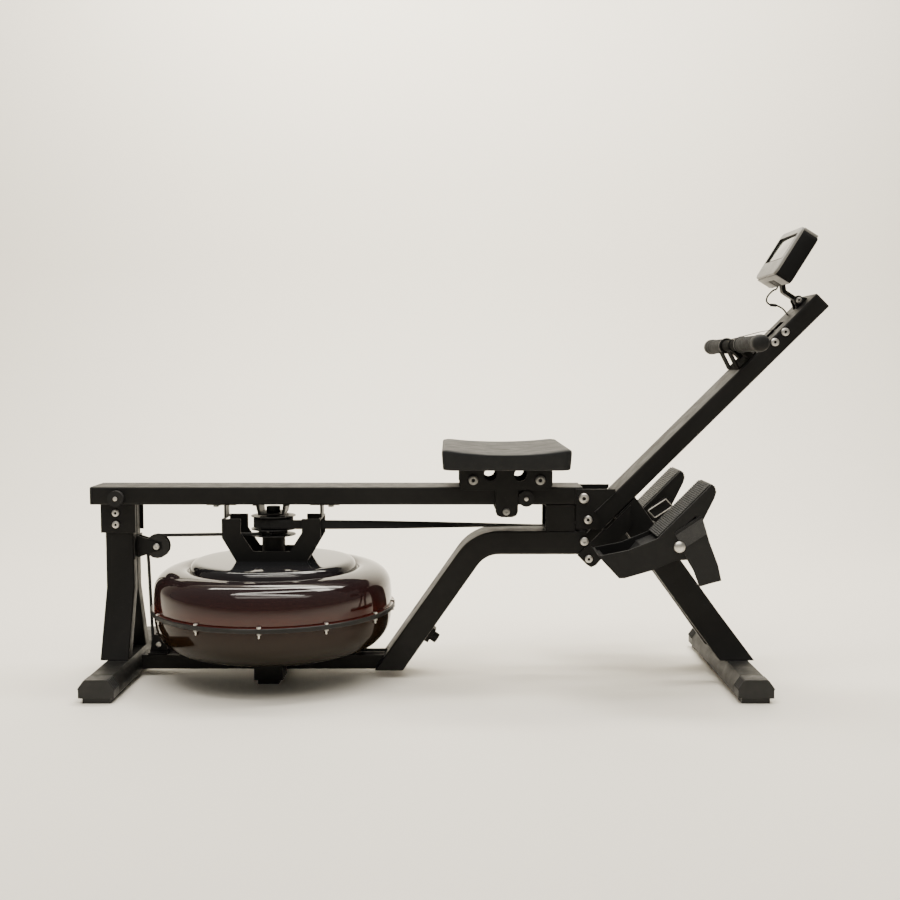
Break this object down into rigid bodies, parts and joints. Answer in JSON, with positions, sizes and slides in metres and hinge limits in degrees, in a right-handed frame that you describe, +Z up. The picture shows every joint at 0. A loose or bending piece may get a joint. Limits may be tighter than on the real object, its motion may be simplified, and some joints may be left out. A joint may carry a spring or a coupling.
{
  "type": "water rowing machine",
  "caption": "Rowing machine with a flat round water tank under its seat rail, sloping arm with monitor, strap handle, sliding seat and pivoting pedals.",
  "frame": {"origin": "on the floor, at the middle of the overall length and width", "axes": "+X towards the footrest and monitor end, +Y to the left of the rower, +Z up"},
  "size_m": [1.5572, 0.524, 0.9491],
  "materials": {
    "black_paint": "satin",
    "dark_paint": "satin",
    "zinc": "satin",
    "steel": "polished",
    "black_plastic": "matte",
    "cap_plastic": "matte",
    "silver_plastic": "satin",
    "smoke_tank": "gloss",
    "dark_tank": "gloss",
    "ring_plastic": "gloss",
    "white_plastic": "satin",
    "stop_rubber": "matte",
    "grip_foam": "matte",
    "pad_foam": "matte",
    "webbing": "matte",
    "cord": "matte"
  },
  "bodies": {
    "frame": {"seat_rail": "black_paint", "rail_end_cap": "cap_plastic", "rear_stop": "stop_rubber", "front_stop": "stop_rubber", "rear_leg_right": "black_paint", "rear_leg_left": "black_paint", "rear_foot_bar": "black_paint", "rear_foot_cap_right": "cap_plastic", "rear_foot_cap_left": "cap_plastic", "base_tube": "black_paint", "main_tube": "black_paint", "neck_box": "black_paint", "arm_bracket_right": "black_paint", "arm_bracket_left": "black_paint", "arm_tube": "black_paint", "arm_end_cap": "cap_plastic", "front_leg_right": "black_paint", "front_leg_left": "black_paint", "front_foot_bar": "black_paint", "front_foot_cap_right": "cap_plastic", "front_foot_cap_left": "cap_plastic", "pedal_axle": "zinc", "handle_cradle": "black_paint", "sensor_wire": "cord", "tank_upper_shell": "smoke_tank", "tank_lower_shell": "dark_tank", "tank_flange": "ring_plastic", "yoke": "dark_paint", "upper_bearing_bracket": "dark_paint", "drive_strap": "webbing", "bungee_cord": "cord", "upper_pulley_bracket": "black_paint", "lower_pulley_bracket": "black_paint"},
    "seat": {"seat_pad": "pad_foam", "seat_carriage": "black_paint"},
    "rear_wheels": {"seat_roller_rear": "black_plastic"},
    "front_wheels": {"seat_roller_front": "black_plastic"},
    "right_under_wheel": {"lower_roller_right": "black_plastic"},
    "left_under_wheel": {"lower_roller_left": "black_plastic"},
    "handle": {"handle_bar": "black_paint", "handle_grip_right": "grip_foam", "handle_grip_left": "grip_foam", "handle_strap": "webbing"},
    "spool": {"spool": "black_plastic", "strap_winding": "webbing", "bungee_winding": "cord"},
    "paddle": {"impeller": "white_plastic", "drive_shaft": "steel"},
    "upper_pulley": {"upper_pulley": "black_plastic"},
    "lower_pulley": {"lower_pulley": "black_plastic"},
    "junction_roller": {"junction_roller": "black_plastic"},
    "arm_roller_low": {"arm_roller_lower": "black_plastic"},
    "arm_roller_high": {"arm_roller_upper": "black_plastic"},
    "monitor_link": {"monitor_link": "black_plastic"},
    "monitor": {"monitor_housing": "black_plastic", "monitor_screen": "silver_plastic"},
    "right_pedal": {"pedal_right": "black_plastic", "pedal_strap_right": "webbing"},
    "left_pedal": {"pedal_left": "black_plastic", "pedal_strap_left": "webbing"}
  },
  "joints": [
    {"name": "seat_slide", "type": "slide", "parent": "frame", "child": "seat", "axis": [-1, 0, 0], "range_m": [0, 0.7845]},
    {"name": "rear_wheels_roll", "type": "hinge", "parent": "seat", "child": "rear_wheels", "pos_m": [0.033, 0, 0.428], "axis": [0, 1, 0], "continuous": true},
    {"name": "front_wheels_roll", "type": "hinge", "parent": "seat", "child": "front_wheels", "pos_m": [0.174, 0, 0.428], "axis": [0, 1, 0], "continuous": true},
    {"name": "right_under_wheel_roll", "type": "hinge", "parent": "seat", "child": "right_under_wheel", "pos_m": [0.103, -0.0465, 0.3607], "axis": [0, 1, 0], "continuous": true},
    {"name": "left_under_wheel_roll", "type": "hinge", "parent": "seat", "child": "left_under_wheel", "pos_m": [0.103, 0.0465, 0.3607], "axis": [0, 1, 0], "continuous": true},
    {"name": "handle_pull", "type": "slide", "parent": "frame", "child": "handle", "axis": [-0.9962, 0, 0.0872], "range_m": [0, 0.95]},
    {"name": "spool_spin", "type": "hinge", "parent": "frame", "child": "spool", "pos_m": [-0.398, 0, 0.33], "axis": [0, 0, 1], "continuous": true},
    {"name": "impeller_spin", "type": "hinge", "parent": "frame", "child": "paddle", "pos_m": [-0.398, 0, 0.12], "axis": [0, 0, 1], "continuous": true},
    {"name": "upper_pulley_spin", "type": "hinge", "parent": "frame", "child": "upper_pulley", "pos_m": [-0.649, 0, 0.279], "axis": [0, 1, 0], "continuous": true},
    {"name": "lower_pulley_spin", "type": "hinge", "parent": "frame", "child": "lower_pulley", "pos_m": [-0.648, 0, 0.065], "axis": [0, 1, 0], "continuous": true},
    {"name": "junction_roller_spin", "type": "hinge", "parent": "frame", "child": "junction_roller", "pos_m": [0.2759, 0, 0.3432], "axis": [0, 1, 0], "continuous": true},
    {"name": "arm_roller_low_spin", "type": "hinge", "parent": "frame", "child": "arm_roller_low", "pos_m": [0.66496, 0, 0.71739], "axis": [0, 1, 0], "continuous": true},
    {"name": "arm_roller_high_spin", "type": "hinge", "parent": "frame", "child": "arm_roller_high", "pos_m": [0.68638, 0, 0.73882], "axis": [0, 1, 0], "continuous": true},
    {"name": "monitor_link_tilt", "type": "hinge", "parent": "frame", "child": "monitor_link", "pos_m": [0.7245, 0, 0.8069], "axis": [0, 1, 0], "range_deg": [0, 18]},
    {"name": "monitor_tilt", "type": "hinge", "parent": "monitor_link", "child": "monitor", "pos_m": [0.691, 0, 0.85], "axis": [0, 1, 0], "range_deg": [-18, 14]},
    {"name": "right_pedal_tilt", "type": "hinge", "parent": "frame", "child": "right_pedal", "pos_m": [0.439, -0.1515, 0.3094], "axis": [0, 1, 0], "range_deg": [-25, 25]},
    {"name": "left_pedal_tilt", "type": "hinge", "parent": "frame", "child": "left_pedal", "pos_m": [0.439, 0.1515, 0.3094], "axis": [0, 1, 0], "range_deg": [-25, 25]}
  ],
  "couplings": [
    {"joint": "rear_wheels_roll", "follows": "seat_slide", "rad_per_m": -63.694},
    {"joint": "front_wheels_roll", "follows": "seat_slide", "rad_per_m": -63.694},
    {"joint": "right_under_wheel_roll", "follows": "seat_slide", "rad_per_m": 76.923},
    {"joint": "left_under_wheel_roll", "follows": "seat_slide", "rad_per_m": 76.923},
    {"joint": "spool_spin", "follows": "handle_pull", "rad_per_m": 23.256},
    {"joint": "upper_pulley_spin", "follows": "handle_pull", "rad_per_m": 30.3},
    {"joint": "lower_pulley_spin", "follows": "handle_pull", "rad_per_m": 45.9},
    {"joint": "junction_roller_spin", "follows": "handle_pull", "rad_per_m": -55.556},
    {"joint": "arm_roller_high_spin", "follows": "handle_pull", "rad_per_m": -133.33}
  ]
}
